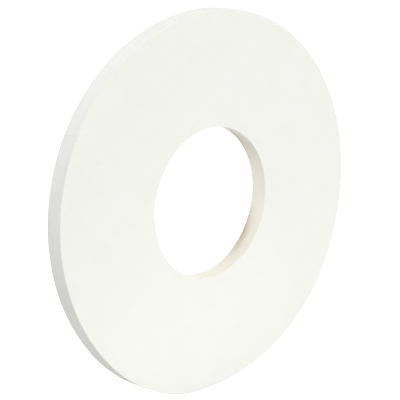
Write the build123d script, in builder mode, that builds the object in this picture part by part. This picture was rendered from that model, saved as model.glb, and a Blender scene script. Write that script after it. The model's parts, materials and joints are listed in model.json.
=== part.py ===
"""Felt polishing wheel: a flat ring of hard pressed wool felt with a large centre bore.

The wheel is one piece of felt, cut from sheet and bored to slip over the spigot of a driving hub, where two
flanges clamp its faces. Sizes are in millimetres, +Z is up, and the wheel stands on its rim with its axis
along Y. The origin is on that axis, midway between the faces. The working face looks along -Y.
"""

import os

from build123d import *

# Driving dimensions
wheel_diameter = 200.0
bore_diameter = 80.0
thickness = 10.0
edge_radius = 0.4  # felt never holds a sharp corner: the fibres at a cut edge wear and lie over

# Worked out from the driving dimensions
wheel_radius = wheel_diameter / 2
bore_radius = bore_diameter / 2
wall_width = wheel_radius - bore_radius  # of the felt, from bore to rim
wall_middle = (wheel_radius + bore_radius) / 2

os.makedirs("parts", exist_ok=True)

# The felt wheel: its cross-section, a bar with four softened corners, turned about the axis.
# In the section plane X is the radius, and Y runs through the thickness.
with BuildPart() as felt_wheel:
    with BuildSketch(Plane.XY):
        with Locations((wall_middle, 0)):
            RectangleRounded(wall_width, thickness, edge_radius)
    revolve(axis=Axis.Y)

felt_wheel.part.label = "felt_wheel"
export_step(felt_wheel.part, "parts/felt_wheel.step")

# What the finished wheel measures
wheel_box = felt_wheel.part.bounding_box().size
bore_wall_length = thickness - 2 * edge_radius
print(f"felt_wheel: {wheel_box.X:.2f} x {wheel_box.Y:.2f} x {wheel_box.Z:.2f} mm")
print(f"bore: {bore_diameter:.2f} mm across, straight for {bore_wall_length:.2f} mm")
print(f"felt: {felt_wheel.part.volume / 1000:.1f} cm3")
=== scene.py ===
"""Felt polishing wheel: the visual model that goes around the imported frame.

The wheel is one ring of hard pressed wool felt.  Its body is a closed ring with worn edges, and
on it lies the nap: the loose fibre ends that stand out of the two pressed faces, and more thickly
out of the walls that the cutter left.
"""

import json
import logging
import math
from dataclasses import dataclass, field
from enum import Enum
from typing import Callable

import bmesh
import bpy
import numpy as np
from mathutils import Euler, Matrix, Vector

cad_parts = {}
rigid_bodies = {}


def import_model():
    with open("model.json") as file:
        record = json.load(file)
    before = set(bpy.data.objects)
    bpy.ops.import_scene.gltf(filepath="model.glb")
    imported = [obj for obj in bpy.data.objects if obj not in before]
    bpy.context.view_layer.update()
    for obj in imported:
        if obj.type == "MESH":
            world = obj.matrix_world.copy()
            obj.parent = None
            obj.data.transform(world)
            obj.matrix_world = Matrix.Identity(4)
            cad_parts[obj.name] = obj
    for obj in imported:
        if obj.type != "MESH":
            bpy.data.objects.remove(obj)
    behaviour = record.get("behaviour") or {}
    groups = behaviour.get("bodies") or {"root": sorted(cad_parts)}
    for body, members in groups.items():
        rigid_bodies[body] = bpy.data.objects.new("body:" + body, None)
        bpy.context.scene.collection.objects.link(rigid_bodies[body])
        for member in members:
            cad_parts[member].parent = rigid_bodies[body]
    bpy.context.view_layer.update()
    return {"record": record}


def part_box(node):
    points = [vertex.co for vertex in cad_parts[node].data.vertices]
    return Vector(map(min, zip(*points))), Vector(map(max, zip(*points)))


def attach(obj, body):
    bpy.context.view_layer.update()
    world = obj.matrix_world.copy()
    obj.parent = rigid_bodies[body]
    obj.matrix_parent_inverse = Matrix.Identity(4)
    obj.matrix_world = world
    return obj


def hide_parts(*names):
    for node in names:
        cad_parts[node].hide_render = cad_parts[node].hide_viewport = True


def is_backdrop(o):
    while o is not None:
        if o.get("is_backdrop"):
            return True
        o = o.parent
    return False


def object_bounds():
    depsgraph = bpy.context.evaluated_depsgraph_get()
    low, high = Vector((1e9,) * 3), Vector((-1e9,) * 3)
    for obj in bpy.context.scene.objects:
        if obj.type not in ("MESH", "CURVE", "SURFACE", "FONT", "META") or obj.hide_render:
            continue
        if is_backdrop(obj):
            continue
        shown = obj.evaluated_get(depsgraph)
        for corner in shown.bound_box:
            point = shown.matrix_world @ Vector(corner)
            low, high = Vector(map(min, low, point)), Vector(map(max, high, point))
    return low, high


MM = 0.001
FULL_TURN = 2 * math.pi
# The third mask holds painted shade on the cut walls.
MASKS = ("cut", "bore", "painted_shade")
LOG = logging.getLogger("felt_wheel")


class Skin(Enum):
    """The four sides of the ring, each with its own kind of surface."""

    FRONT = "front"
    BACK = "back"
    RIM = "rim"
    BORE = "bore"


# ---------------------------------------------------------------------------------------------
# Bench tools: selecting, shaping and finishing a mesh
# ---------------------------------------------------------------------------------------------


def clear_bench() -> None:
    """Leave edit mode and deselect every object."""
    if bpy.context.mode != "OBJECT":
        bpy.ops.object.mode_set(mode="OBJECT")
    bpy.ops.object.select_all(action="DESELECT")


def start_editing(piece: bpy.types.Object, mode: str = "VERT") -> None:
    """Make a piece the only selected one and open its mesh, with nothing in it selected.

    Args:
        piece: The object to edit.
        mode: What operators select: VERT, EDGE or FACE.
    """
    clear_bench()
    piece.select_set(True)
    bpy.context.view_layer.objects.active = piece
    bpy.ops.object.mode_set(mode="EDIT")
    bpy.ops.mesh.select_mode(type=mode)
    bpy.ops.mesh.select_all(action="DESELECT")


def stop_editing() -> None:
    """Close the open mesh."""
    bpy.ops.object.mode_set(mode="OBJECT")


def pick_vertices(piece: bpy.types.Object, wanted: Callable[[Vector], bool]) -> int:
    """Select the vertices of the open mesh that pass a test, with the edges between them.

    Args:
        piece: The object that is being edited.
        wanted: Says of a vertex's place whether it is wanted.

    Returns:
        How many vertices are selected.
    """
    mesh = bmesh.from_edit_mesh(piece.data)
    bpy.ops.mesh.select_all(action="DESELECT")
    for vertex in mesh.verts:
        if wanted(vertex.co):
            vertex.select = True
    mesh.select_flush(True)
    bmesh.update_edit_mesh(piece.data)
    return sum(vertex.select for vertex in mesh.verts)


def apply_modifier(piece: bpy.types.Object, modifier: bpy.types.Modifier) -> None:
    """Apply one modifier to a piece's mesh.

    Args:
        piece: The object that has the modifier.
        modifier: The modifier to apply.
    """
    clear_bench()
    piece.select_set(True)
    bpy.context.view_layer.objects.active = piece
    bpy.ops.object.modifier_apply(modifier=modifier.name)


def rename(piece: bpy.types.Object, name: str) -> None:
    """Give an object and its mesh the same name."""
    piece.name = name
    piece.data.name = name


def vertex_places(mesh: bpy.types.Mesh) -> np.ndarray:
    """Read where a mesh's vertices are.

    Args:
        mesh: The mesh to read.

    Returns:
        Their places as rows of x, y, z.
    """
    places = np.empty(3 * len(mesh.vertices))
    mesh.vertices.foreach_get("co", places)
    return places.reshape(-1, 3)


def write_mask(mesh: bpy.types.Mesh, name: str, mask: np.ndarray) -> None:
    """Store one value for each vertex of a mesh, for its material to read."""
    mesh.attributes.new(name, "FLOAT", "POINT").data.foreach_set("value", mask.astype(np.float32))


def smooth_step(low: float, high: float, value: np.ndarray) -> np.ndarray:
    """Return 0 below low, 1 above high and an eased ramp between."""
    share = np.clip((value - low) / (high - low), 0.0, 1.0)
    return share * share * (3.0 - 2.0 * share)


def turn_from(centre: float, angle: np.ndarray) -> np.ndarray:
    """Return how far each angle is from a centre, from -180 to 180 degrees."""
    return (angle - centre + 180.0) % 360.0 - 180.0


def places_round(places: np.ndarray) -> tuple[np.ndarray, np.ndarray]:
    """Return each place's radius from the bore's axis and its angle round it, in degrees."""
    return np.hypot(places[:, 0], places[:, 2]), np.degrees(np.arctan2(places[:, 2], places[:, 0]))


def number_steps(values: np.ndarray, gap: float) -> np.ndarray:
    """Number values from the lowest up, giving one number to values that lie close together.

    Args:
        values: The values to number.
        gap: How far apart two neighbours are when the number goes up.

    Returns:
        A whole number for each value.
    """
    order = np.argsort(values, kind="stable")
    steps = np.zeros(len(values), int)
    steps[order[1:]] = np.cumsum(np.diff(values[order]) > gap)
    return steps


# ---------------------------------------------------------------------------------------------
# Shader groups
# ---------------------------------------------------------------------------------------------


class GroupMaker:
    """Builds one shader node group with named inputs and outputs."""

    def __init__(self, name: str, inputs: dict[str, tuple[str, object]], outputs: dict[str, str]) -> None:
        """Start an empty group.

        Args:
            name: The group's name.
            inputs: Each input's name, with its kind (Float, Color or Vector) and default.
            outputs: Each output's name, with its kind.
        """
        self.tree = bpy.data.node_groups.new(name, "ShaderNodeTree")
        for label, (kind, value) in inputs.items():
            socket = self.tree.interface.new_socket(label, in_out="INPUT", socket_type=f"NodeSocket{kind}")
            socket.default_value = value
        for label, kind in outputs.items():
            self.tree.interface.new_socket(label, in_out="OUTPUT", socket_type=f"NodeSocket{kind}")
        self.given = self.tree.nodes.new("NodeGroupInput").outputs
        self.result = self.tree.nodes.new("NodeGroupOutput").inputs

    def give(self, label: str, value: bpy.types.NodeSocket) -> None:
        """Put a value out of the group under a name."""
        self.tree.links.new(value, self.result[label])


def add_node(tree: bpy.types.NodeTree, kind: str, settings: dict[str, object] | None = None,
             **inputs: object) -> bpy.types.Node:
    """Add a node, set its properties and fill its inputs.

    Args:
        tree: The node tree that gets the node.
        kind: The node's type, without the ShaderNode prefix.
        settings: The node's own properties.
        **inputs: A value or an output socket for each input. Underscores stand for spaces, and
            a name such as in_1 means an input by number.

    Returns:
        The new node.
    """
    node = tree.nodes.new(f"ShaderNode{kind}")
    for label, value in (settings or {}).items():
        setattr(node, label, value)
    for label, value in inputs.items():
        number = label.removeprefix("in_")
        socket = node.inputs[int(number)] if number.isdigit() else node.inputs[label.replace("_", " ")]
        if isinstance(value, bpy.types.NodeSocket):
            tree.links.new(value, socket)
        else:
            socket.default_value = value
    return node


def math_of(tree: bpy.types.NodeTree, operation: str, first: object, second: object = 0.0,
            clamp: bool = False) -> bpy.types.NodeSocket:
    """Return the result of one sum on two values or sockets."""
    node = add_node(tree, "Math", {"operation": operation, "use_clamp": clamp}, in_0=first, in_1=second)
    return node.outputs[0]


def blend_of(tree: bpy.types.NodeTree, share: object, first: object, second: object,
             blend: str = "MIX") -> bpy.types.NodeSocket:
    """Return two colours blended by a share from 0, the first, to 1, the second."""
    kind = {"data_type": "RGBA", "blend_type": blend}
    return add_node(tree, "Mix", kind, in_0=share, in_6=first, in_7=second).outputs[2]


def eased_of(tree: bpy.types.NodeTree, value: object, low: float, high: float, to_low: float = 0.0,
             to_high: float = 1.0) -> bpy.types.NodeSocket:
    """Return a value eased from one range to another, and held at its ends."""
    node = add_node(tree, "MapRange", {"interpolation_type": "SMOOTHSTEP"}, in_0=value, in_1=low, in_2=high,
                    in_3=to_low, in_4=to_high)
    return node.outputs[0]


@dataclass(frozen=True)
class MattedFibres:
    """Wool fibres pressed into a mat, running three ways.

    Each lay is the bearing that fibres run along, in degrees, and how many times longer than wide
    they are. Strays bend the lays by up to half their reach, in metres.
    """

    strays_per_metre: float = 420.0
    stray_reach: float = 2.2 * MM
    lays: tuple[tuple[float, float], ...] = ((20.0, 4.5), (82.0, 5.0), (143.0, 3.5))
    strand_gain: float = 3.5
    cloud_range: tuple[float, float] = (0.32, 0.68)

    def build(self) -> bpy.types.NodeTree:
        """Build the group.

        Returns:
            A group that takes a place and how many fibres and clouds there are to the metre, and
            gives the height of the matted fibres and a slow clouding, both from 0 to 1.
        """
        group = GroupMaker(
            "matted_fibres",
            {"Vector": ("Vector", (0, 0, 0)), "Fibres": ("Float", 4600.0), "Clouds": ("Float", 90.0)},
            {"Height": "Float", "Cloud": "Float"},
        )
        tree = group.tree
        curled = self._bend(tree, group.given["Vector"])
        strands = [self._lay_strands(tree, curled, group.given["Fibres"], *lay) for lay in self.lays]
        upper = math_of(tree, "MAXIMUM", strands[0], strands[1])
        group.give("Height", math_of(tree, "MULTIPLY", math_of(tree, "ADD", upper, strands[2]), 0.5))
        cloud = add_node(tree, "TexNoise", Vector=curled, Scale=group.given["Clouds"], Detail=4.0,
                         Roughness=0.6)
        group.give("Cloud", eased_of(tree, cloud.outputs[0], *self.cloud_range))
        return tree

    def _bend(self, tree: bpy.types.NodeTree, place: bpy.types.NodeSocket) -> bpy.types.NodeSocket:
        """Shift a place by a slow noise, so that fibres drawn there curl.

        Args:
            tree: The group's node tree.
            place: The place to shift.

        Returns:
            The shifted place.
        """
        stray = add_node(tree, "TexNoise", Vector=place, Scale=self.strays_per_metre, Detail=2.0)
        centred = add_node(tree, "VectorMath", {"operation": "SUBTRACT"}, in_0=stray.outputs["Color"],
                           in_1=(0.5,) * 3)
        shift = add_node(tree, "VectorMath", {"operation": "SCALE"}, in_0=centred.outputs[0],
                         Scale=self.stray_reach)
        bent = add_node(tree, "VectorMath", {"operation": "ADD"}, in_0=place, in_1=shift.outputs[0])
        return bent.outputs[0]

    def _lay_strands(self, tree: bpy.types.NodeTree, place: bpy.types.NodeSocket,
                     fibres: bpy.types.NodeSocket, bearing: float, stretch: float) -> bpy.types.NodeSocket:
        """Draw the fibres of one lay.

        Args:
            tree: The group's node tree.
            place: The place on the piece.
            fibres: How many fibres there are to the metre.
            bearing: Which way they run, in degrees.
            stretch: How many times longer than wide they are.

        Returns:
            Their height, from 0 to 1.
        """
        lay = add_node(tree, "Mapping", {"vector_type": "TEXTURE"}, Vector=place,
                       Rotation=(0.0, math.radians(bearing), 0.0), Scale=(1.0, 1.0, stretch))
        strand = add_node(tree, "TexNoise", {"noise_type": "RIDGED_MULTIFRACTAL"}, Vector=lay.outputs[0],
                          Scale=fibres, Detail=2.0, Roughness=0.55, Lacunarity=2.1)
        return math_of(tree, "MULTIPLY", strand.outputs[0], self.strand_gain, clamp=True)


@dataclass(frozen=True)
class CardedLayers:
    """The fine lines where a cut shows the layers that the felt was laid up from."""

    wavers_per_metre: float = 60.0
    waver_height: float = 1.2 * MM
    lines_per_metre: float = 1150.0
    squeeze: float = 0.045
    line_range: tuple[float, float] = (0.3, 0.7)

    def build(self) -> bpy.types.NodeTree:
        """Build the group.

        Returns:
            A group that takes a place and gives the lines, which run round the wheel, from 0 to 1.
        """
        group = GroupMaker("carded_layers", {"Vector": ("Vector", (0, 0, 0))}, {"Line": "Float"})
        tree, place = group.tree, group.given["Vector"]
        waver = add_node(tree, "TexNoise", Vector=place, Scale=self.wavers_per_metre, Detail=1.0)
        lift = add_node(tree, "CombineXYZ", Y=math_of(tree, "MULTIPLY", waver.outputs[0], self.waver_height))
        wavy = add_node(tree, "VectorMath", {"operation": "ADD"}, in_0=place, in_1=lift.outputs[0])
        drawn = add_node(tree, "Mapping", Vector=wavy.outputs[0], Scale=(self.squeeze, 1.0, self.squeeze))
        lines = add_node(tree, "TexNoise", Vector=drawn.outputs[0], Scale=self.lines_per_metre, Detail=3.0,
                         Roughness=0.6)
        group.give("Line", eased_of(tree, lines.outputs[0], *self.line_range))
        return tree


@dataclass(frozen=True)
class Fleck:
    """A bit of burr or coarse hair left in the working face. Lengths in metres, angle in degrees."""

    radius: float
    angle: float
    width: float
    darkness: float


@dataclass(frozen=True)
class FleckedFelt:
    """The dark flecks: a few known ones in the working face, chance ones in the back.

    The face stands at `face_height` from the middle of the felt, in metres. A known fleck is full
    out to the share `core` of its width and gone at the share `fade`.
    """

    known: tuple[Fleck, ...]
    face_height: float
    cells_per_metre: float = 85.0
    chosen_range: tuple[float, float] = (0.90, 0.94)
    spot_range: tuple[float, float] = (0.04, 0.12)
    chance_darkness: float = 0.6
    core: float = 0.2
    fade: float = 0.7

    def build(self) -> bpy.types.NodeTree:
        """Build the group.

        Returns:
            A group that takes a place and gives a mask that is above 0 in a fleck and 0 elsewhere.
        """
        group = GroupMaker("flecks", {"Vector": ("Vector", (0, 0, 0))}, {"Fleck": "Float"})
        tree, place = group.tree, group.given["Vector"]
        cell = add_node(tree, "TexVoronoi", Vector=place, Scale=self.cells_per_metre, Randomness=1.0)
        chosen = add_node(tree, "SeparateColor", Color=cell.outputs["Color"])
        few = eased_of(tree, chosen.outputs[0], *self.chosen_range, 0.0, self.chance_darkness)
        spot = eased_of(tree, cell.outputs["Distance"], *self.spot_range, 1.0, 0.0)
        depth = add_node(tree, "SeparateXYZ", Vector=place).outputs["Y"]
        behind = math_of(tree, "GREATER_THAN", depth, 0.0)
        mask = math_of(tree, "MULTIPLY", math_of(tree, "MULTIPLY", few, spot), behind)
        for fleck in self.known:
            mask = math_of(tree, "MAXIMUM", mask, self._spot(tree, place, fleck))
        group.give("Fleck", mask)
        return tree

    def _spot(self, tree: bpy.types.NodeTree, place: bpy.types.NodeSocket,
              fleck: Fleck) -> bpy.types.NodeSocket:
        """Draw one known fleck.

        Args:
            tree: The group's node tree.
            place: The place on the piece.
            fleck: Where the fleck is and how dark.

        Returns:
            How strong it is at the place.
        """
        angle = math.radians(fleck.angle)
        centre = (fleck.radius * math.cos(angle), -self.face_height, fleck.radius * math.sin(angle))
        away = add_node(tree, "VectorMath", {"operation": "DISTANCE"}, in_0=place, in_1=centre)
        return eased_of(tree, away.outputs["Value"], self.core * fleck.width, self.fade * fleck.width,
                        fleck.darkness, 0.0)


@dataclass(frozen=True)
class FeltFinish:
    """One look of wool felt. Colours are linear; places of change come from the mesh's masks.

    Hollows between fibres are darkened with painted shade, and lines between layers tinted darker, each by a
    small share. Relief is a share of `relief_depth`, in metres.
    """

    name: str
    wool: tuple[float, float, float] = (0.825, 0.834, 0.778)
    cloud: tuple[float, float, float] = (0.834, 0.842, 0.800)
    cut_wool: tuple[float, float, float] = (0.739, 0.737, 0.724)
    # The bore's wall is lighter and warmer than the rim's cut wool: painted light, for warm light bounced
    # into the bore, over the wool's own colour.
    bore_wool_and_painted_light: tuple[float, float, float] = (0.869, 0.849, 0.781)
    # The colour of the painted shade on the cut walls.
    painted_shade: tuple[float, float, float] = (0.488, 0.425, 0.303)
    fleck: tuple[float, float, float] = (0.42, 0.40, 0.34)
    # Painted shade in the hollows between fibres: its tint, the fibre heights it covers and its strength.
    pit_shadow_tint: tuple[float, float, float] = (0.4, 0.38, 0.33)
    pit_range: tuple[float, float] = (0.03, 0.5)
    pit_shade: float = 0.085
    line_tint: tuple[float, float, float] = (0.55, 0.52, 0.46)
    line_shade: float = 0.05
    fibres_per_metre: float = 4600.0
    clouds_per_metre: float = 90.0
    relief_depth: float = 0.25 * MM
    fibre_relief: float = 0.12
    layer_relief: float = 0.12
    roughness_low: float = 0.88
    roughness_high: float = 1.0
    sheen: float = 0.25

    def make(self, fibres: bpy.types.NodeTree, layers: bpy.types.NodeTree,
             flecks: bpy.types.NodeTree) -> bpy.types.Material:
        """Build the material.

        Args:
            fibres: The matted_fibres group.
            layers: The carded_layers group.
            flecks: The flecks group.

        Returns:
            The finished material.
        """
        material = bpy.data.materials.new(self.name)
        material.use_nodes = True
        tree = material.node_tree
        tree.nodes.clear()
        place = add_node(tree, "TexCoord").outputs["Object"]
        matted = self._place_group(tree, fibres, place, Fibres=self.fibres_per_metre,
                                   Clouds=self.clouds_per_metre)
        line = self._place_group(tree, layers, place)["Line"]
        fleck = self._place_group(tree, flecks, place)["Fleck"]
        cut, bore, painted_shade_share = (
            add_node(tree, "Attribute", {"attribute_name": mask, "attribute_type": "GEOMETRY"}).outputs["Fac"]
            for mask in MASKS
        )
        pressed = blend_of(tree, matted["Cloud"], (*self.wool, 1), (*self.cloud, 1))
        # The bore's wall takes its lighter, warmer colour: painted bounce light.
        wall = blend_of(tree, bore, (*self.cut_wool, 1), (*self.bore_wool_and_painted_light, 1))
        colour = blend_of(tree, cut, pressed, wall)
        # Painted shade on stretches of the cut walls.
        colour = blend_of(tree, painted_shade_share, colour, (*self.painted_shade, 1))
        # Painted shade in the hollows between fibres, where the fibres lie low.
        pit_shadow = eased_of(tree, matted["Height"], *self.pit_range, self.pit_shade, 0.0)
        colour = blend_of(tree, pit_shadow, colour, (*self.pit_shadow_tint, 1), "MULTIPLY")
        lines = math_of(tree, "MULTIPLY", line, math_of(tree, "MULTIPLY", cut, self.line_shade))
        colour = blend_of(tree, lines, colour, (*self.line_tint, 1), "MULTIPLY")
        colour = blend_of(tree, fleck, colour, (*self.fleck, 1))
        rough = eased_of(tree, matted["Height"], 0.0, 1.0, self.roughness_high, self.roughness_low)
        mat = math_of(tree, "MULTIPLY", matted["Height"], self.fibre_relief)
        ridges = math_of(tree, "MULTIPLY", line, math_of(tree, "MULTIPLY", cut, self.layer_relief))
        bump = add_node(tree, "Bump", Height=math_of(tree, "ADD", mat, ridges), Distance=self.relief_depth,
                        Strength=1.0)
        skin = add_node(tree, "BsdfPrincipled", Base_Color=colour, Roughness=rough, Normal=bump.outputs[0],
                        Sheen_Weight=self.sheen, Sheen_Roughness=0.5, Specular_IOR_Level=0.2)
        output = add_node(tree, "OutputMaterial")
        tree.links.new(skin.outputs[0], output.inputs["Surface"])
        return material

    @staticmethod
    def _place_group(tree: bpy.types.NodeTree, group: bpy.types.NodeTree, place: bpy.types.NodeSocket,
                     **values: float) -> bpy.types.bpy_prop_collection:
        """Put a group in a material's tree, at a place on the piece.

        Args:
            tree: The material's node tree.
            group: The group to use.
            place: The place on the piece.
            **values: The group's other inputs.

        Returns:
            The group's outputs.
        """
        node = tree.nodes.new("ShaderNodeGroup")
        node.node_tree = group
        tree.links.new(place, node.inputs["Vector"])
        for label, value in values.items():
            node.inputs[label].default_value = value
        return node.outputs


# ---------------------------------------------------------------------------------------------
# The ring of felt
# ---------------------------------------------------------------------------------------------


@dataclass(frozen=True)
class PaintedShade:
    """A stretch of a cut wall darkened by painted shade, standing in for the shade that falls there. Angles
    in degrees.

    It fades in across the wall from the height `begins`, where -1 is the front and 1 the back, or
    covers the whole width if that is None.
    """

    wall: Skin
    angle: float
    spread: float
    strength: float
    begins: float | None = None

    def darken(self, angle: np.ndarray, rise: np.ndarray) -> np.ndarray:
        """Return how strong the painted shade is at each place on its wall.

        Args:
            angle: Where the place is round the wheel.
            rise: How far towards the back face it is, from -1 at the front to 1 at the back.

        Returns:
            The painted shade's strength, from 0 to 1.
        """
        shade = self.strength * np.exp(-((turn_from(self.angle, angle) / self.spread) ** 2))
        return shade if self.begins is None else shade * smooth_step(self.begins, 1.0, rise)


@dataclass(frozen=True)
class Wave:
    """One way in which the rim is out of round: waves round it, their height and a crest's angle."""

    count: int
    height: float
    crest: float


@dataclass(frozen=True)
class Unevenness:
    """One scale of the felt's uneven surface: how broad its lumps are, in how many steps, how high."""

    name: str
    size: float
    steps: int
    height: float


@dataclass
class FeltRing:
    """The pressed felt ring: one closed body, turned from a section with worn corners.

    Lengths are in metres and angles in degrees, from +X towards +Z. The cut walls' look fades in
    over `wall_fade` in radius and `corner_fade` in depth, both as shares of the edge radius.
    """

    outer_radius: float
    bore_radius: float
    thickness: float
    edge_radius: float = 0.4 * MM
    edge_steps: int = 5
    bore_swell: float = 0.6 * MM
    face_cuts: int = 58
    wall_cuts: int = 9
    sections: int = 560
    layer_step: float = 0.035 * MM
    witness_angle: float = 151.95
    witness_lean: float = 4.5
    witness_width: float = 0.5 * MM
    witness_depth: float = 0.18 * MM
    waves: tuple[Wave, ...] = (
        Wave(2, 0.2 * MM, -9.0),
        Wave(3, 0.28 * MM, 34.0),
        Wave(4, 0.35 * MM, 58.0),
        Wave(5, 0.2 * MM, 29.0),
        Wave(6, 0.17 * MM, 12.0),
    )
    corner_height: float = 0.8 * MM
    corner_angle: float = 257.0
    corner_spread: float = 9.0
    wall_fade: tuple[float, float] = (1.0, 0.7)
    corner_fade: tuple[float, float] = (0.55, 0.0)
    unevenness: tuple[Unevenness, ...] = (
        Unevenness("press_waves", size=45 * MM, steps=0, height=0.22 * MM),
        Unevenness("felt_lumps", size=7 * MM, steps=1, height=0.06 * MM),
        Unevenness("felt_grain", size=2.2 * MM, steps=1, height=0.055 * MM),
    )
    face_limit: float = 0.9
    # Painted shade: darker stretches of the bore's wall and the lower left rim, and the rim's back edge.
    painted_shades: tuple[PaintedShade, ...] = (
        PaintedShade(Skin.BORE, angle=-38.0, spread=18.5, strength=0.68, begins=-0.5),
        PaintedShade(Skin.BORE, angle=-31.0, spread=13.0, strength=0.5, begins=0.6),
        PaintedShade(Skin.BORE, angle=-54.0, spread=30.0, strength=0.29),
        PaintedShade(Skin.BORE, angle=-97.0, spread=14.0, strength=0.12),
        PaintedShade(Skin.BORE, angle=38.0, spread=17.0, strength=0.27),
        PaintedShade(Skin.BORE, angle=52.0, spread=14.0, strength=0.50, begins=-0.8),
        PaintedShade(Skin.RIM, angle=200.0, spread=9.0, strength=0.08),
        PaintedShade(Skin.RIM, angle=229.0, spread=11.0, strength=0.14),
        PaintedShade(Skin.RIM, angle=170.0, spread=300.0, strength=0.13, begins=0.7),
    )
    seed: int = 11
    piece: bpy.types.Object | None = field(default=None, repr=False)

    @property
    def wall_width(self) -> float:
        """How wide the felt is from bore to rim."""
        return self.outer_radius - self.bore_radius

    @property
    def wall_middle(self) -> float:
        """The radius midway between bore and rim."""
        return (self.outer_radius + self.bore_radius) / 2

    def __post_init__(self) -> None:
        """Let the bore close by what pressed felt springs back once it is cut."""
        self.bore_radius -= self.bore_swell

    def build(self) -> bpy.types.Object:
        """Model the ring.

        Returns:
            The finished body.
        """
        self.piece = self._draw_section()
        self._step_walls()
        self._spin_section()
        self._cut_witness_mark()
        self._number_points()
        self._mark_areas()
        self._work_out_of_round()
        self._raise_felt()
        return self.piece

    def _draw_section(self) -> bpy.types.Object:
        """Draw the section at +X as a closed line with rounded corners and evenly divided sides.

        Returns:
            The section, named as the body that it becomes.
        """
        clear_bench()
        bpy.ops.mesh.primitive_plane_add(size=1.0, location=(self.wall_middle, 0.0, 0.0))
        section = bpy.context.object
        rename(section, "felt_body")
        bpy.ops.transform.resize(value=(self.wall_width, self.thickness, 1.0))
        bpy.ops.object.transform_apply(location=True, rotation=True, scale=True)
        start_editing(section)
        bpy.ops.mesh.select_all(action="SELECT")
        bpy.ops.mesh.bevel(offset=self.edge_radius, segments=self.edge_steps, affect="VERTICES")
        bpy.ops.mesh.select_all(action="SELECT")
        bpy.ops.mesh.delete(type="ONLY_FACE")
        near = 0.01 * self.edge_radius
        face = self.thickness / 2 - near
        for cuts, on_side in (
            (self.face_cuts, lambda co: co.y < -face),
            (self.face_cuts, lambda co: co.y > face),
            (self.wall_cuts, lambda co: co.x > self.outer_radius - near),
            (self.wall_cuts, lambda co: co.x < self.bore_radius + near),
        ):
            pick_vertices(section, on_side)
            bpy.ops.mesh.subdivide(number_cuts=cuts)
        stop_editing()
        return section

    def _step_walls(self) -> None:
        """Move each point of the two cut walls in or out a little, where the layers meet."""
        rng = np.random.default_rng(self.seed)
        places = vertex_places(self.piece.data)
        inner = np.abs(places[:, 1]) < self.thickness / 2 - 1.5 * self.edge_radius
        near = 0.25 * self.edge_radius
        wall = (places[:, 0] > self.outer_radius - near) | (places[:, 0] < self.bore_radius + near)
        places[inner & wall, 0] += rng.normal(0.0, self.layer_step, (inner & wall).sum())
        self.piece.data.vertices.foreach_set("co", places.ravel())

    def _spin_section(self) -> None:
        """Turn the section about the bore's axis and close the seam."""
        start_editing(self.piece)
        bpy.ops.mesh.select_all(action="SELECT")
        bpy.ops.mesh.spin(steps=self.sections, angle=FULL_TURN, center=(0, 0, 0), axis=(0, 1, 0))
        bpy.ops.mesh.select_all(action="SELECT")
        bpy.ops.mesh.remove_doubles(threshold=0.01 * MM)
        bpy.ops.mesh.select_all(action="SELECT")
        bpy.ops.mesh.normals_make_consistent(inside=False)
        stop_editing()

    def _cut_witness_mark(self) -> None:
        """Nick the rim, from face to face, where the cutter went in and came out."""
        angle = math.radians(self.witness_angle)
        outward = Vector((math.cos(angle), 0.0, math.sin(angle)))
        lean = math.radians(self.witness_lean)
        along = Vector((-math.sin(angle) * math.cos(lean), -math.sin(lean), math.cos(angle) * math.cos(lean)))
        corner_foot = self.outer_radius - 1.6 * self.edge_radius
        corner_top = self.outer_radius - 0.9 * self.edge_radius
        cut_reach, on_cut = 6.0 * self.witness_width, 0.04 * self.witness_width
        start_editing(self.piece, "FACE")
        for offset in (-0.5, 0.0, 0.5):
            pick_vertices(self.piece, lambda co: co.dot(outward) > corner_foot
                          and abs(co.dot(along)) < cut_reach)
            bpy.ops.mesh.bisect(plane_co=tuple(along * offset * self.witness_width), plane_no=tuple(along))
        bpy.ops.mesh.select_mode(type="VERT")
        pick_vertices(self.piece, lambda co: co.dot(outward) > corner_top and abs(co.dot(along)) < on_cut)
        bpy.ops.transform.translate(value=tuple(-outward * self.witness_depth))
        stop_editing()

    def _number_points(self) -> None:
        """Number the points and faces by their places, so that chance picks fall alike each time."""
        shaped = self.piece.data
        places = vertex_places(shaped)
        radius, angle = places_round(places)
        same_angle, same_depth = 0.0003, 0.0001 * MM
        between_sections = 120.0 / self.sections
        turned = number_steps(turn_from(between_sections, angle), same_angle)
        order = np.lexsort((radius, number_steps(places[:, 1], same_depth), turned))
        number = np.argsort(order)
        faces = []
        for face in shaped.polygons:
            corners = number[list(face.vertices)].tolist()
            first = corners.index(min(corners))
            faces.append(corners[first:] + corners[:first])
        self.piece.data = bpy.data.meshes.new("numbered")
        self.piece.data.from_pydata(places[order].tolist(), [], sorted(faces))
        bpy.data.meshes.remove(shaped)
        rename(self.piece, self.piece.name)

    def _work_out_of_round(self) -> None:
        """Stretch the ring by fractions of a millimetre, as felt cut soft never stays a circle."""
        places = vertex_places(self.piece.data)
        radius, angle = places_round(places)
        wave = sum(w.height * np.cos(np.radians(w.count * (angle - w.crest))) for w in self.waves)
        corner = np.exp(-((turn_from(self.corner_angle, angle) / self.corner_spread) ** 2))
        reach = smooth_step(self.bore_radius, self.outer_radius, radius)
        grown = 1.0 + reach * (wave + self.corner_height * corner) / self.outer_radius
        places[:, 0] *= grown
        places[:, 2] *= grown
        self.piece.data.vertices.foreach_set("co", places.ravel())
        self.piece.data.update()

    def _raise_felt(self) -> None:
        """Give the body the unevenness of pressed felt, from broad waves to small grain."""
        for uneven in self.unevenness:
            texture = bpy.data.textures.new(uneven.name, "CLOUDS")
            texture.noise_scale = uneven.size
            texture.noise_depth = uneven.steps
            modifier = self.piece.modifiers.new(uneven.name, "DISPLACE")
            modifier.texture = texture
            modifier.texture_coords = "LOCAL"
            modifier.strength = uneven.height
            modifier.mid_level = 0.5
            apply_modifier(self.piece, modifier)
        bpy.ops.object.shade_smooth()

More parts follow.
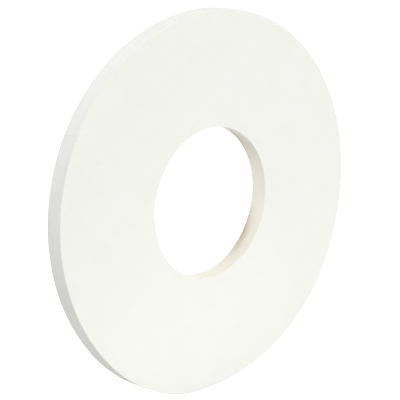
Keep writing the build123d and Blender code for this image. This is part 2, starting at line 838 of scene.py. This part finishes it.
    def _mark_areas(self) -> None:
        """Write the masks that the finish reads: cut walls, the bore's wall and the painted shade on them."""
        places = vertex_places(self.piece.data)
        radius, angle = places_round(places)
        inset = self.edge_radius * np.array(self.wall_fade)
        corner = self.thickness / 2 - self.edge_radius * np.array(self.corner_fade)
        wall = 1.0 - smooth_step(*corner, np.abs(places[:, 1]))
        rim = wall * smooth_step(*(self.outer_radius - inset), radius)
        bore = wall * (1.0 - smooth_step(*(self.bore_radius + inset[::-1]), radius))
        rise = 2.0 * places[:, 1] / self.thickness
        walls = {Skin.RIM: rim, Skin.BORE: bore}
        # Painted shade on the walls, summed over the shaded stretches.
        painted_shade = sum(walls[shade_patch.wall] * shade_patch.darken(angle, rise) for shade_patch in self.painted_shades).clip(0.0, 1.0)
        for name, mask in zip(MASKS, (np.maximum(rim, bore), bore, painted_shade)):
            write_mask(self.piece.data, name, mask)

    def sample_skin(self, skin: Skin, count: int,
                    rng: np.random.Generator) -> tuple[np.ndarray, np.ndarray, dict[str, np.ndarray]]:
        """Pick chance points on one side of the ring, evenly by area.

        Args:
            skin: The side to pick from.
            count: How many points to pick.
            rng: Makes the choice.

        Returns:
            The points, the way the felt faces at each, and the finish's masks there.
        """
        mesh = self.piece.data
        places = vertex_places(mesh)
        total = len(mesh.polygons)
        starts, sizes, areas = np.empty(total, int), np.empty(total, int), np.empty(total)
        facing = np.empty(3 * total)
        mesh.polygons.foreach_get("loop_start", starts)
        mesh.polygons.foreach_get("loop_total", sizes)
        mesh.polygons.foreach_get("area", areas)
        mesh.polygons.foreach_get("normal", facing)
        facing = facing.reshape(-1, 3)
        ends = np.empty(len(mesh.loops), int)
        mesh.loops.foreach_get("vertex_index", ends)
        centre_radius = np.hypot(*places[ends[starts]][:, [0, 2]].T)
        on_wall = np.abs(facing[:, 1]) <= self.face_limit
        side = {
            Skin.FRONT: facing[:, 1] < -self.face_limit,
            Skin.BACK: facing[:, 1] > self.face_limit,
            Skin.RIM: on_wall & (centre_radius > self.wall_middle),
            Skin.BORE: on_wall & (centre_radius < self.wall_middle),
        }[skin]
        usable = np.flatnonzero(side & (sizes == 4))
        chosen = rng.choice(usable, count, p=areas[usable] / areas[usable].sum())
        corners = ends[starts[chosen][:, None] + np.arange(4)]
        across, up = rng.random((2, count, 1))
        shares = np.stack([(1 - across) * (1 - up), across * (1 - up), across * up, (1 - across) * up])
        points = sum(shares[k] * places[corners[:, k]] for k in range(4))
        masks = {}
        for name in MASKS:
            values = np.empty(len(mesh.vertices), np.float32)
            mesh.attributes[name].data.foreach_get("value", values)
            masks[name] = values[corners].mean(axis=1)
        return points, facing[chosen], masks

    def dress(self, finish: bpy.types.Material) -> None:
        """Give the body its finish, hang it on the frame's root body and hide the frame part that it stands
        for.

        Args:
            finish: The felt's material.
        """
        self.piece.data.materials.clear()
        self.piece.data.materials.append(finish)
        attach(self.piece, "root")
        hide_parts("felt_wheel")


# ---------------------------------------------------------------------------------------------
# The nap
# ---------------------------------------------------------------------------------------------


@dataclass
class FibreStock:
    """A few curled wool fibres, each modelled once at a length of about one metre."""

    shapes: int = 6
    joints: int = 3
    root_radius: float = 0.016
    thinning: float = 0.8
    curl: float = 30.0
    seed: int = 5

    def spin_yarn(self) -> list[tuple[np.ndarray, np.ndarray]]:
        """Model every shape.

        Returns:
            For each shape, its vertices and its triangles.
        """
        rng = np.random.default_rng(self.seed)
        return [self._model_fibre(rng) for _ in range(self.shapes)]

    def _model_fibre(self, rng: np.random.Generator) -> tuple[np.ndarray, np.ndarray]:
        """Draw one fibre out of a three-sided root, bending and thinning it at each joint.

        Args:
            rng: Chooses the bends.

        Returns:
            The fibre's vertices and triangles.
        """
        clear_bench()
        bpy.ops.mesh.primitive_circle_add(vertices=3, radius=self.root_radius, fill_type="NGON")
        fibre = bpy.context.object
        start_editing(fibre)
        bpy.ops.mesh.select_all(action="SELECT")
        heading, tip = Vector((0.0, 0.0, 1.0)), Vector()
        for _ in range(self.joints):
            heading.rotate(Euler(np.radians(rng.normal(0.0, self.curl, 3))))
            step = heading / self.joints
            tip += step
            bpy.ops.mesh.extrude_region_move(TRANSFORM_OT_translate={"value": tuple(step)})
            bpy.ops.transform.resize(value=(self.thinning,) * 3, center_override=tuple(tip))
        bpy.ops.mesh.merge(type="CENTER")
        bpy.ops.mesh.select_all(action="SELECT")
        bpy.ops.mesh.quads_convert_to_tris()
        bpy.ops.mesh.normals_make_consistent(inside=False)
        stop_editing()
        places = vertex_places(fibre.data)
        corners = np.array([face.vertices[:] for face in fibre.data.polygons])
        bpy.data.meshes.remove(fibre.data)
        return places, corners


@dataclass
class Nap:
    """The loose fibre ends on one side of the ring. Lengths in metres, lift in degrees.

    The roots are sunk a little into the felt. The spread is that of the logarithm of the length.
    """

    skin: Skin
    fibres: int
    length: float
    lift: tuple[float, float]
    seed: int
    sink: float = 0.04 * MM
    spread: float = 0.35
    piece: bpy.types.Object | None = field(default=None, repr=False)

    def lay(self, ring: FeltRing, stock: list[tuple[np.ndarray, np.ndarray]]) -> bpy.types.Object:
        """Copy the fibre shapes over this side of the ring, each turned and sized by chance.

        Args:
            ring: The felt that the fibres grow from.
            stock: The fibre shapes.

        Returns:
            The nap as one piece.
        """
        rng = np.random.default_rng(self.seed)
        roots, normals, masks = ring.sample_skin(self.skin, self.fibres, rng)
        frames = self._aim(normals, rng)
        lengths = self.length * np.exp(rng.normal(0.0, self.spread, self.fibres))
        kinds = rng.integers(0, len(stock), self.fibres)
        places, corners, owners, count = [], [], [], 0
        for kind, (shape, faces) in enumerate(stock):
            mine = np.flatnonzero(kinds == kind)
            grown = np.einsum("nij,vj->nvi", frames[mine], shape) * lengths[mine, None, None]
            grown += (roots[mine] - self.sink * normals[mine])[:, None, :]
            places.append(grown.reshape(-1, 3))
            offsets = count + len(shape) * np.arange(len(mine))
            corners.append((faces[None] + offsets[:, None, None]).reshape(-1, 3))
            owners.append(np.repeat(mine, len(shape)))
            count += grown.shape[0] * grown.shape[1]
        name = f"{self.skin.value}_nap"
        mesh = bpy.data.meshes.new(name)
        mesh.from_pydata(np.concatenate(places).tolist(), [], np.concatenate(corners).tolist())
        for label, mask in masks.items():
            write_mask(mesh, label, mask[np.concatenate(owners)])
        mesh.shade_smooth()
        self.piece = bpy.data.objects.new(name, mesh)
        bpy.context.scene.collection.objects.link(self.piece)
        return self.piece

    def _aim(self, normals: np.ndarray, rng: np.random.Generator) -> np.ndarray:
        """Turn each fibre to lie along the surface at a chance bearing and lift.

        Args:
            normals: Which way the felt faces at each root.
            rng: Chooses the bearings and lifts.

        Returns:
            A rotation for each fibre, as rows of a 3 by 3 array.
        """
        total = len(normals)
        guess = rng.normal(size=(total, 3))
        along = guess - (guess * normals).sum(1, keepdims=True) * normals
        along /= np.linalg.norm(along, axis=1, keepdims=True)
        lift = np.radians(rng.uniform(*self.lift, total))[:, None]
        ahead = np.cos(lift) * along + np.sin(lift) * normals
        side = np.cross(along, normals)
        return np.stack([side, np.cross(ahead, side), ahead], axis=2)

    def dress(self, finish: bpy.types.Material) -> None:
        """Give the nap its finish and let it move with the wheel.

        Args:
            finish: The loose wool's material.
        """
        self.piece.data.materials.append(finish)
        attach(self.piece, "root")


# ---------------------------------------------------------------------------------------------
# The studio
# ---------------------------------------------------------------------------------------------


@dataclass(frozen=True)
class Lamp:
    """One soft rectangular lamp, hung so that it faces the wheel. Power is in watts."""

    name: str
    place: tuple[float, float, float]
    size: tuple[float, float]
    power: float
    colour: tuple[float, float, float] = (1.0, 1.0, 1.0)

    def hang(self) -> None:
        """Add the lamp to the scene, lighting it without being seen itself."""
        lamp = bpy.data.lights.new(self.name, "AREA")
        lamp.shape = "RECTANGLE"
        lamp.size, lamp.size_y = self.size
        lamp.energy = self.power
        lamp.color = self.colour
        holder = bpy.data.objects.new(self.name, lamp)
        holder.location = self.place
        holder.rotation_euler = Vector(self.place).to_track_quat("Z", "Y").to_euler()
        holder.visible_camera = False
        bpy.context.scene.collection.objects.link(holder)


@dataclass
class Studio:
    """A plain pale floor, soft lamps and the camera. Lengths are in metres, angles in degrees."""

    floor_height: float
    floor_size: float = 12.0
    floor_grey: float = 0.55
    floor_glow: float = 0.19
    backdrop_glow: float = 0.86
    room_light: float = 0.19
    camera_azimuth: float = -43.94
    camera_elevation: float = 14.27
    camera_distance: float = 0.8874
    lens: float = 154.96
    sensor: float = 36.0
    aim: tuple[float, float, float] = (-0.0037, 0.0, 0.00133)
    lamps: tuple[Lamp, ...] = (
        Lamp("key", (-0.9, -1.5, 1.3), (1.6, 1.6), 20.4),
        Lamp("top", (0.0, 0.0, 2.0), (2.2, 2.2), 30.5),
        Lamp("left", (-2.0, 0.0, 0.7), (1.4, 1.4), 11.0),
        Lamp("low_front", (0.9, -1.1, 0.1), (0.9, 0.36), 6.0),
        Lamp("back", (-0.5, 1.9, 0.8), (1.4, 1.4), 12.0),
        Lamp("right", (1.9, 0.5, 0.8), (1.4, 1.4), 5.5),
        Lamp("back_right", (1.0, 1.8, 0.6), (1.4, 1.4), 9.0),
        Lamp("foot", (-0.01, -0.09, -0.097), (0.16, 0.02), 0.020),
    )

    def build(self) -> None:
        """Set up the whole studio."""
        self._lay_floor()
        self._light_room()
        for lamp in self.lamps:
            lamp.hang()
        self._place_camera()
        bpy.context.scene.view_settings.view_transform = "Standard"

    def _lay_floor(self) -> None:
        """Lay the pale floor under the wheel, burnt out to white as a table in a light tent is."""
        clear_bench()
        bpy.ops.mesh.primitive_plane_add(size=self.floor_size, location=(0.0, 0.0, self.floor_height))
        floor = bpy.context.object
        rename(floor, "studio_floor")
        bpy.ops.object.transform_apply(location=True)
        paint = bpy.data.materials.new("studio_floor")
        paint.use_nodes = True
        tree = paint.node_tree
        shader = tree.nodes["Principled BSDF"]
        shader.inputs["Base Color"].default_value = (*(self.floor_grey,) * 3, 1)
        shader.inputs["Roughness"].default_value = 1.0
        shader.inputs["Specular IOR Level"].default_value = 0.0
        shader.inputs["Emission Color"].default_value = (1, 1, 1, 1)
        tree.links.new(self._seen_glow(tree, self.floor_glow, self.floor_glow + self.backdrop_glow),
                       shader.inputs["Emission Strength"])
        floor.data.materials.append(paint)
        floor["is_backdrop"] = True

    def _light_room(self) -> None:
        """Fill the room with an even, weak light behind a white backdrop."""
        world = bpy.data.worlds.new("studio_room")
        world.use_nodes = True
        tree = world.node_tree
        backdrop = tree.nodes["Background"]
        backdrop.inputs["Color"].default_value = (1, 1, 1, 1)
        tree.links.new(self._seen_glow(tree, self.room_light, 1.0), backdrop.inputs["Strength"])
        bpy.context.scene.world = world

    @staticmethod
    def _seen_glow(tree: bpy.types.NodeTree, lighting: float, seen: float) -> bpy.types.NodeSocket:
        """Return a strength that is one value where the camera looks and another as light."""
        direct = add_node(tree, "LightPath").outputs["Is Camera Ray"]
        return add_node(tree, "MapRange", in_0=direct, in_3=lighting, in_4=seen).outputs[0]

    def _place_camera(self) -> None:
        """Stand the camera in front of the wheel, to its left and a little above."""
        azimuth, elevation = math.radians(self.camera_azimuth), math.radians(self.camera_elevation)
        level = math.cos(elevation)
        back = Vector((math.sin(azimuth) * level, -math.cos(azimuth) * level, math.sin(elevation)))
        lens = bpy.data.cameras.new("camera")
        lens.lens = self.lens
        lens.sensor_width = self.sensor
        camera = bpy.data.objects.new("camera", lens)
        camera.location = back * self.camera_distance
        camera.rotation_euler = (camera.location - Vector(self.aim)).to_track_quat("Z", "Y").to_euler()
        bpy.context.scene.collection.objects.link(camera)
        bpy.context.scene.camera = camera


FRONT_FLECKS = (
    Fleck(radius=82.8 * MM, angle=156.4, width=2.2 * MM, darkness=0.09),
    Fleck(radius=96.5 * MM, angle=144.5, width=0.9 * MM, darkness=0.10),
    Fleck(radius=84.9 * MM, angle=-38.3, width=0.8 * MM, darkness=0.16),
    Fleck(radius=86.5 * MM, angle=-42.0, width=0.7 * MM, darkness=0.12),
    Fleck(radius=51.4 * MM, angle=109.3, width=0.8 * MM, darkness=0.10),
    Fleck(radius=78.1 * MM, angle=86.0, width=0.8 * MM, darkness=0.10),
)


def main() -> None:
    """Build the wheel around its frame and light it."""
    logging.basicConfig(level=logging.INFO, format="%(name)s: %(message)s")
    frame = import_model()
    low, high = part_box("felt_wheel")
    bore = next(mount for mount in frame["record"]["mounts"] if mount["name"] == "bore")
    ring = FeltRing(outer_radius=(high[0] - low[0]) / 2, bore_radius=bore["dims"]["r_mm"] * MM,
                    thickness=high[1] - low[1])
    ring.build()
    flecks = FleckedFelt(FRONT_FLECKS, face_height=ring.thickness / 2)
    groups = (MattedFibres().build(), CardedLayers().build(), flecks.build())
    ring.dress(FeltFinish("pressed_wool_felt").make(*groups))
    LOG.info("felt_body: %d faces", len(ring.piece.data.polygons))
    stock = FibreStock().spin_yarn()
    loose = FeltFinish("loose_wool").make(*groups)
    for nap in (
        Nap(Skin.FRONT, fibres=11500, length=0.9 * MM, lift=(2.0, 22.0), seed=21),
        Nap(Skin.BACK, fibres=11500, length=0.9 * MM, lift=(2.0, 22.0), seed=22),
        Nap(Skin.RIM, fibres=11500, length=0.65 * MM, lift=(5.0, 70.0), seed=23),
        Nap(Skin.BORE, fibres=6000, length=0.65 * MM, lift=(5.0, 70.0), seed=24),
    ):
        nap.lay(ring, stock)
        nap.dress(loose)
        LOG.info("%s: %d faces", nap.piece.name, len(nap.piece.data.polygons))
    visual_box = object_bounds()
    Studio(floor_height=visual_box[0][2]).build()


if __name__ == "__main__":
    main()
